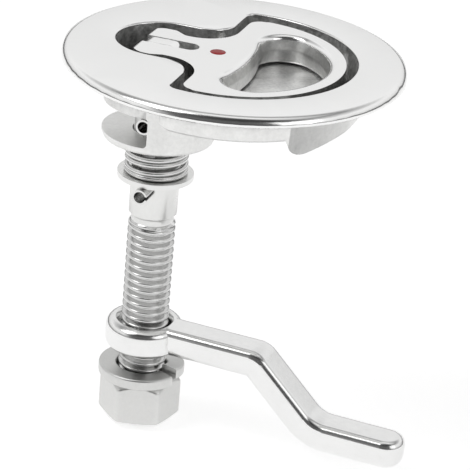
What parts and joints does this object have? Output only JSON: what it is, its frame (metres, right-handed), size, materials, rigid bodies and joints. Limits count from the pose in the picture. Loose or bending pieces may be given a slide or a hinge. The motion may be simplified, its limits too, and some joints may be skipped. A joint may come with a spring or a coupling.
{
  "type": "flush pull latch",
  "caption": "Round flush latch with a folding ring handle, a sprung threaded spindle and a cranked lever that clamps under the frame.",
  "frame": {"origin": "centre of the round plate, on the underside of its flange, where the deck's face lies", "axes": "+Z out of the plate's face, +X from the spindle towards the finger ring"},
  "size_m": [0.0744, 0.065, 0.0802],
  "materials": {
    "polished_steel": "mirror polished",
    "cast_steel": "cast and tumbled",
    "turned_steel": "turned",
    "spring_steel": "drawn wire",
    "satin_steel": "satin",
    "red_enamel": "gloss"
  },
  "bodies": {
    "housing": {"base_housing": "polished_steel", "compression_spring": "spring_steel"},
    "spindle": {"threaded_spindle": "turned_steel", "hinge_pin": "turned_steel", "stop_pin": "spring_steel", "washer_pin": "spring_steel", "spring_washer": "polished_steel", "lock_washer": "satin_steel", "hex_nut": "satin_steel"},
    "handle": {"pull_handle": "cast_steel", "dot_inlay": "red_enamel"},
    "lever": {"cam_lever": "polished_steel"}
  },
  "joints": [
    {"name": "spindle_drop", "type": "slide", "parent": "housing", "child": "spindle", "axis": [0, 0, -1], "range_m": [0, 0.0014], "deforming": ["compression_spring"]},
    {"name": "handle_lift", "type": "hinge", "parent": "spindle", "child": "handle", "pos_m": [-0.014, 0, -0.0025], "axis": [0, -1, 0], "range_deg": [0, 90]},
    {"name": "lever_turn", "type": "hinge", "parent": "spindle", "child": "lever", "pos_m": [-0.014, 0, -0.0596], "axis": [0, 0, 1], "range_deg": [-180, 0]}
  ],
  "couplings": [
    {"joint": "handle_lift", "follows": "spindle_drop", "rad_per_m": 1122}
  ]
}
